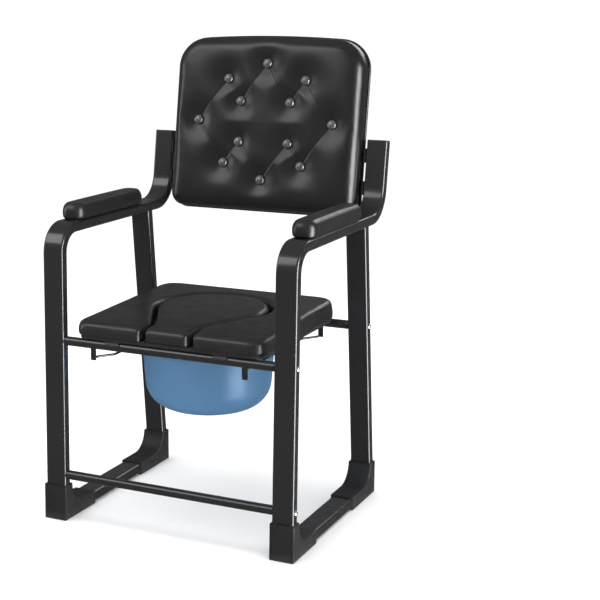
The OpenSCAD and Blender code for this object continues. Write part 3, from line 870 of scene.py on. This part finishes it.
def rubber_foot(node):
    low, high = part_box(node)
    foot = copy_of(node, f"rubber_{node}")

    def is_side_edge(edge):
        xs = [v.co.x for v in edge.verts]
        flat = any(all(abs(x - side) < SAME for x in xs) for side in (low.x, high.x))
        return flat and len(edge.link_faces) == 2

    bevel_edges(foot, is_side_edge, FOOT_EDGE, 3)
    shade(foot, 40)
    hand_over(foot, foot_rubber, "frame", "foot_rubber", node)


for node in ("front_left_foot", "front_right_foot", "rear_left_foot", "rear_right_foot"):
    rubber_foot(node)

# %% [markdown]
# ## Caps on the uprights
# A plug-in cap closes each open tube end. A thin block is bevelled to the tube's section,
# its top edge is rounded over, and a plug is inset and extruded below it. The cap leans back
# with the tube, so its place is worked out from its rear top corner.

# %% Upright caps
CAP_SIZE = (0.046, 0.022, 0.0035)
CAP_CORNER, CAP_TOP_EDGE = 0.005, 0.0014
PLUG_INSET, PLUG_LENGTH = 0.0018, 0.014


def upright_cap(node, name):
    low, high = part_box(node)
    nothing_selected()
    bpy.ops.mesh.primitive_cube_add(size=1)
    cap = bpy.context.active_object
    cap.name = name
    cap.scale = CAP_SIZE
    apply_transform()
    half_depth, half_height = CAP_SIZE[1] / 2, CAP_SIZE[2] / 2
    bevel_edges(cap, lambda e: abs(e.verts[0].co.z - e.verts[1].co.z) > SAME, CAP_CORNER, 5)
    bevel_edges(cap, lambda e: all(v.co.z > half_height - SAME for v in e.verts),
                CAP_TOP_EDGE, 3)
    bpy.ops.object.mode_set(mode="EDIT")
    pick_faces(cap, lambda face: face.normal.z < -0.9)
    bpy.ops.mesh.inset(thickness=PLUG_INSET)
    extrude_by(0, 0, -PLUG_LENGTH)
    bpy.ops.object.mode_set(mode="OBJECT")
    cap.rotation_euler = (-BACK_LEAN, 0, 0)
    top = Vector((0, math.sin(BACK_LEAN), math.cos(BACK_LEAN))) * half_height
    rear = Vector((0, math.cos(BACK_LEAN), -math.sin(BACK_LEAN))) * half_depth
    cap.location = ((low.x + high.x) / 2, high.y - rear.y - top.y, high.z + rear.z - top.z)
    apply_transform()
    shade(cap, 40)
    hand_over(cap, black_plastic, "frame", "black_plastic", node)


upright_cap("left_upright_cap", "left_tube_cap")
upright_cap("right_upright_cap", "right_tube_cap")

# %% [markdown]
# ## The bucket
# A disc is extruded ring by ring, up the wall, out over the rim, and down the inside, as a
# potter pulls a wall. A raised bead stiffens the rim, and two pins carry the handle.

# %% Bucket
bucket_low, bucket_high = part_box("bucket")
BUCKET_Y = (bucket_low.y + bucket_high.y) / 2
BUCKET_H = bucket_high.z - bucket_low.z
BASE_R, BASE_ROUND, WALL_T = 0.128, 0.058, 0.003
WALL_SPREAD = 0.010      # how much wider the wall is at its top than at its foot
RIM_H = 0.009
OUTER_END, INNER_END = 0.0115, 0.012     # where the wall's two sides end, below the top
WALL_SLOPE = WALL_SPREAD / (BUCKET_H - RIM_H)
WALL_LEAN = math.atan(WALL_SLOPE)
ROUND_MIDDLE = BASE_R + BASE_ROUND * (WALL_SLOPE - 1 / math.cos(WALL_LEAN))


def bowl_rings(inset, top, steps=12):
    """Rings of the base's wide rounding and of the wall, from the flat middle up."""
    turn = BASE_ROUND - inset
    rings = []
    for k in range(steps + 1):
        angle = (math.pi / 2 - WALL_LEAN) * k / steps
        rings.append((ROUND_MIDDLE + turn * math.sin(angle), inset + turn * (1 - math.cos(angle))))
    radius, height = rings[-1]
    rings.append((radius + WALL_SLOPE * (top - height), top))
    return rings


# The rim's rings as (radius, height over the bucket's top), from outside to inside.
RIM_RINGS = [(0.1382, -0.0094), (0.1392, -0.0090), (0.1505, -0.0090), (0.1518, -0.0084),
             (0.152, -0.0075), (0.152, -0.0018), (0.1514, -0.0006), (0.1503, 0.0),
             (0.1478, 0.0), (0.1468, -0.0007), (0.1402, -0.0007), (0.1392, 0.0), (0.1362, 0.0),
             (0.1352, -0.0006), (0.1349, -0.0018)]
RINGS = (bowl_rings(0.0, BUCKET_H - OUTER_END) + [(r, BUCKET_H + h) for r, h in RIM_RINGS]
         + bowl_rings(WALL_T, BUCKET_H - INNER_END)[::-1])


def pull_rings(name, centre, rings, segments=128):
    """A vessel made from a disc by extruding its edge through (radius, height) rings."""
    nothing_selected()
    radius, height = rings[0]
    base = Vector(centre)
    bpy.ops.mesh.primitive_circle_add(vertices=segments, radius=radius, fill_type="NOTHING",
                                      location=base + Vector((0, 0, height)))
    vessel = bpy.context.active_object
    vessel.name = name
    apply_transform()
    bpy.ops.object.mode_set(mode="EDIT")
    bpy.ops.mesh.select_mode(type="EDGE")
    bpy.ops.mesh.select_all(action="SELECT")
    bpy.ops.mesh.edge_face_add()
    mesh = bmesh.from_edit_mesh(vessel.data)
    for face in mesh.faces:
        face.select = False
    for edge in mesh.edges:
        edge.select = True
    bmesh.update_edit_mesh(vessel.data)
    for next_radius, next_height in rings[1:]:
        bpy.ops.mesh.extrude_edges_move(
            TRANSFORM_OT_translate={"value": (0, 0, next_height - height)})
        ratio = next_radius / radius
        bpy.ops.transform.resize(value=(ratio, ratio, 1), center_override=base)
        radius, height = next_radius, next_height
    bpy.ops.mesh.edge_face_add()
    bpy.ops.mesh.select_all(action="SELECT")
    bpy.ops.mesh.normals_make_consistent(inside=False)
    bpy.ops.object.mode_set(mode="OBJECT")
    return vessel


bucket = pull_rings("blue_bucket", (0, BUCKET_Y, bucket_low.z), RINGS)
handle_low, handle_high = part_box("bucket_handle")
PIVOT_Z = (handle_low.z + handle_high.z) / 2
PIN_R, PIN_LENGTH = 0.003, 0.012
PIN_MIDDLE, PIN_END = 0.154, 0.160
PIN_HEAD_RATIO, PIN_DOME_RATIO = 1.5, 0.82
PIN_HEAD, PIN_DOME = 0.0012, 0.0007


def pivot_pin(side):
    nothing_selected()
    bpy.ops.mesh.primitive_cylinder_add(vertices=32, radius=PIN_R, depth=PIN_LENGTH,
                                        location=(side * PIN_MIDDLE, BUCKET_Y, PIVOT_Z),
                                        rotation=(0, math.radians(90), 0))
    pin = bpy.context.active_object
    apply_transform()
    bpy.ops.object.mode_set(mode="EDIT")
    pick_faces(pin, lambda face: face.normal.x * side > 0.9)
    end = (side * PIN_END, BUCKET_Y, PIVOT_Z)
    extrude_by(0, 0, 0)
    bpy.ops.transform.resize(value=(1, PIN_HEAD_RATIO, PIN_HEAD_RATIO), center_override=end)
    extrude_by(side * PIN_HEAD, 0, 0)
    extrude_by(side * PIN_DOME, 0, 0)
    bpy.ops.transform.resize(value=(1, PIN_DOME_RATIO, PIN_DOME_RATIO), center_override=end)
    bpy.ops.object.mode_set(mode="OBJECT")
    return pin


join_to(bucket, [pivot_pin(1), pivot_pin(-1)])
shade(bucket, 30)
hand_over(bucket, bucket_blue, "bucket", "bucket_blue", "bucket")

# %% [markdown]
# ## The bucket's handle
# A flat strap bent to a half ring, thickened at its middle to a grip with rounded ridges for
# the fingers. A spin sweeps the strap's section round the bucket. A bored boss at each end
# turns on a pin.

# %% Handle
STRAP_IN = 0.1528        # the strap's inner radius
STRAP_T = 0.0045
STRAP_H = 0.0086
STRAP_EDGE = 0.0016
GRIP_T = 0.0100
GRIP_HALF = math.radians(32)
GRIP_FADE = 0.012        # radians over which the strap thickens
RIDGE_H = 0.0009
RIDGE_WAVES = 34         # ridges in pi radians
RIDGE_SPAN = 0.86        # share of the grip that has ridges
HANDLE_STEPS = 144
BOSS_R = 0.0047
BOSS_EDGE = 0.0005
PIN_HOLE_R = 0.00306


def swept_handle(name):
    nothing_selected()
    bpy.ops.mesh.primitive_plane_add(size=1, rotation=(math.radians(90), 0, 0))
    handle = bpy.context.active_object
    handle.name = name
    handle.scale = (STRAP_T, STRAP_H, 1)
    handle.location = (STRAP_IN + STRAP_T / 2, BUCKET_Y, PIVOT_Z)
    apply_transform()
    bpy.ops.object.mode_set(mode="EDIT")
    bpy.ops.mesh.select_all(action="SELECT")
    bpy.ops.mesh.bevel(offset=STRAP_EDGE, segments=3, affect="VERTICES")
    bpy.ops.mesh.spin(steps=HANDLE_STEPS, angle=math.radians(180), center=(0, BUCKET_Y, PIVOT_Z),
                      axis=(0, 0, 1))
    bpy.ops.mesh.select_all(action="SELECT")
    bpy.ops.mesh.remove_doubles(threshold=WELD)
    bpy.ops.mesh.normals_make_consistent(inside=False)
    bpy.ops.object.mode_set(mode="OBJECT")
    points = points_of(handle)
    turn = np.arctan2(points[:, 1] - BUCKET_Y, points[:, 0])
    side = 1 if turn.mean() > 0 else -1
    away = np.abs(turn * side - math.pi / 2)
    grip = 1 / (1 + np.exp((away - GRIP_HALF) / GRIP_FADE))
    ridges = RIDGE_H * np.abs(np.sin(away * RIDGE_WAVES)) * (away < GRIP_HALF * RIDGE_SPAN)
    radius = np.hypot(points[:, 0], points[:, 1] - BUCKET_Y)
    share = (radius - STRAP_IN) / STRAP_T
    radius = STRAP_IN + share * (STRAP_T + grip * (GRIP_T - STRAP_T) - ridges * (share > 0.5))
    points[:, 0] = radius * np.cos(turn)
    points[:, 1] = BUCKET_Y + side * radius * np.sin(turn)
    set_points(handle, points)
    return handle


def pivot_boss(side):
    """A ring round one pin, where the strap ends."""
    nothing_selected()
    bpy.ops.mesh.primitive_cylinder_add(
        vertices=40, radius=BOSS_R, depth=STRAP_T, rotation=(0, math.radians(90), 0),
        location=(side * (STRAP_IN + STRAP_T / 2), BUCKET_Y, PIVOT_Z))
    boss = bpy.context.active_object
    apply_transform()
    bevel_edges(boss, lambda e: abs(e.verts[0].co.x - e.verts[1].co.x) < SAME, BOSS_EDGE, 2)
    bpy.ops.object.mode_set(mode="EDIT")
    pick_faces(boss, lambda face: len(face.verts) > 8)
    bpy.ops.mesh.inset(thickness=BOSS_R - BOSS_EDGE - PIN_HOLE_R)
    bpy.ops.mesh.bridge_edge_loops()
    bpy.ops.object.mode_set(mode="OBJECT")
    return boss


handle = swept_handle("blue_bucket_handle")
join_to(handle, [pivot_boss(1), pivot_boss(-1)])
shade(handle, 50)
hand_over(handle, handle_blue, "bucket_handle", "handle_blue", "bucket_handle")

# %% [markdown]
# ## Finishes on the pieces of the design that stay
# The bent tubes, bars, rods, bolts and clips are exactly right as designed, so they only get
# their finishes. One table says which finish goes with each material slot of the record.

# %% Dress the remaining solids
FINISHES = {
    "frame_paint": frame_paint, "foot_rubber": foot_rubber, "bright_steel": bright_steel,
    "pad_skin": pad_skin, "back_leather": back_leather, "back_shell": shell_plastic,
    "button_grey": button_grey, "board_plastic": board_plastic, "bucket_blue": bucket_blue,
    "handle_blue": handle_blue, "black_plastic": black_plastic,
}
for row in frame["record"]["subparts"]:
    solid = frame["nodes"][row["node"]]
    solid.data.materials.clear()
    solid.data.materials.append(FINISHES[row["material_slot"]])

# %% [markdown]
# ## Floor, light and camera
# A product shot. The pale floor runs out of sight into a white surround, and its own
# reflections are left out, because black paint that mirrored it would look grey.

# %% Floor
nothing_selected()
bpy.ops.mesh.primitive_plane_add(size=60, location=(0, 0, 0))
floor = bpy.context.active_object
floor.name = "studio_floor"
floor_finish, shader, place = new_finish("studio_floor", (0.92, 0.92, 0.92), 0.55)
gloss(floor_finish, shader, noise(floor_finish, place, 3, 3), 0.5, 0.6)
shader.inputs["Specular IOR Level"].default_value = 0.0
floor.data.materials.append(floor_finish)
floor.visible_glossy = False

# %% [markdown]
# ### Lights
# One large soft light hangs overhead and a smaller one stands behind. Glossy black shows
# little but what it mirrors, so its bright lines come from white cards that only reflections
# see: a tall one at the right, one high in front and a narrow one at the left. The surround
# is white for the eye and dim for reflections, which keeps black black.

# %% Lights
def soft_light(name, place, aim, width, height, watts, mirrored):
    lamp = bpy.data.lights.new(name, "AREA")
    lamp.shape = "RECTANGLE"
    lamp.size = width
    lamp.size_y = height
    lamp.energy = watts
    light = bpy.data.objects.new(name, lamp)
    bpy.context.scene.collection.objects.link(light)
    light.location = place
    light.rotation_euler = (Vector(aim) - Vector(place)).to_track_quat("-Z", "Y").to_euler()
    light.visible_glossy = mirrored


soft_light("overhead", (-0.3, -0.4, 3.0), (0, 0, 0.4), 2.4, 2.0, 55, mirrored=False)
soft_light("rear_rim", (0.6, 2.4, 1.9), (0, 0, 0.7), 1.8, 0.8, 14, mirrored=True)
bpy.context.scene.view_settings.view_transform = "Standard"


def mirror_card(name, place, aim, width, height, brightness):
    """A white card that only shows in reflections."""
    nothing_selected()
    bpy.ops.mesh.primitive_plane_add(size=1, location=place)
    card = bpy.context.active_object
    card.name = name
    card.scale = (width, height, 1)
    card.rotation_euler = (Vector(aim) - Vector(place)).to_track_quat("Z", "Y").to_euler()
    white, shader, _ = new_finish(name, (0, 0, 0), 1.0)
    shader.inputs["Emission Color"].default_value = (1, 1, 1, 1)
    shader.inputs["Emission Strength"].default_value = brightness
    white.cycles.emission_sampling = "NONE"
    card.data.materials.append(white)
    card.visible_camera = False
    card.visible_diffuse = False
    card.visible_shadow = False


mirror_card("right_card", (2.1, -0.55, 0.25), (0, 0, 0.5), 1.1, 2.6, 13)
mirror_card("front_card", (-1.35, -1.75, 2.25), (0, 0.1, 0.75), 1.7, 1.3, 2.6)
mirror_card("left_card", (-2.5, -1.0, 0.9), (0, 0, 0.6), 0.5, 1.3, 4)

SEEN_STRENGTH, MIRRORED_STRENGTH = 1.12, 0.12
world = bpy.data.worlds.new("studio")
bpy.context.scene.world = world
world.use_nodes = True
tree = world.node_tree
surround = tree.nodes["Background"]
surround.inputs["Color"].default_value = (0.9, 0.92, 0.95, 1)
surround.inputs["Strength"].default_value = MIRRORED_STRENGTH
seen = tree.nodes.new("ShaderNodeBackground")
seen.inputs["Color"].default_value = (1, 1, 1, 1)
seen.inputs["Strength"].default_value = SEEN_STRENGTH
ray = tree.nodes.new("ShaderNodeLightPath")
choice = tree.nodes.new("ShaderNodeMixShader")
tree.links.new(ray.outputs["Is Glossy Ray"], choice.inputs["Fac"])
tree.links.new(seen.outputs["Background"], choice.inputs[1])
tree.links.new(surround.outputs["Background"], choice.inputs[2])
tree.links.new(choice.outputs["Shader"], tree.nodes["World Output"].inputs["Surface"])

# %% [markdown]
# ### Camera
# It stands before the chair's front, to the sitter's left, at about the height of the
# backrest's top, and looks slightly down.

# %% Camera
CAMERA_TURN = math.radians(26.35)
CAMERA_RISE = math.radians(11.67)
camera_data = bpy.data.cameras.new("camera")
camera_data.sensor_width = 36
camera_data.lens = 84.49
camera_data.shift_x = 0.1467
camera_data.shift_y = -0.0260
camera = bpy.data.objects.new("camera", camera_data)
bpy.context.scene.collection.objects.link(camera)
camera.location = (1.27304, -2.62645, 1.07702)
towards = Vector((-math.sin(CAMERA_TURN) * math.cos(CAMERA_RISE),
                  math.cos(CAMERA_TURN) * math.cos(CAMERA_RISE), -math.sin(CAMERA_RISE)))
camera.rotation_euler = towards.to_track_quat("-Z", "Y").to_euler()
bpy.context.scene.camera = camera
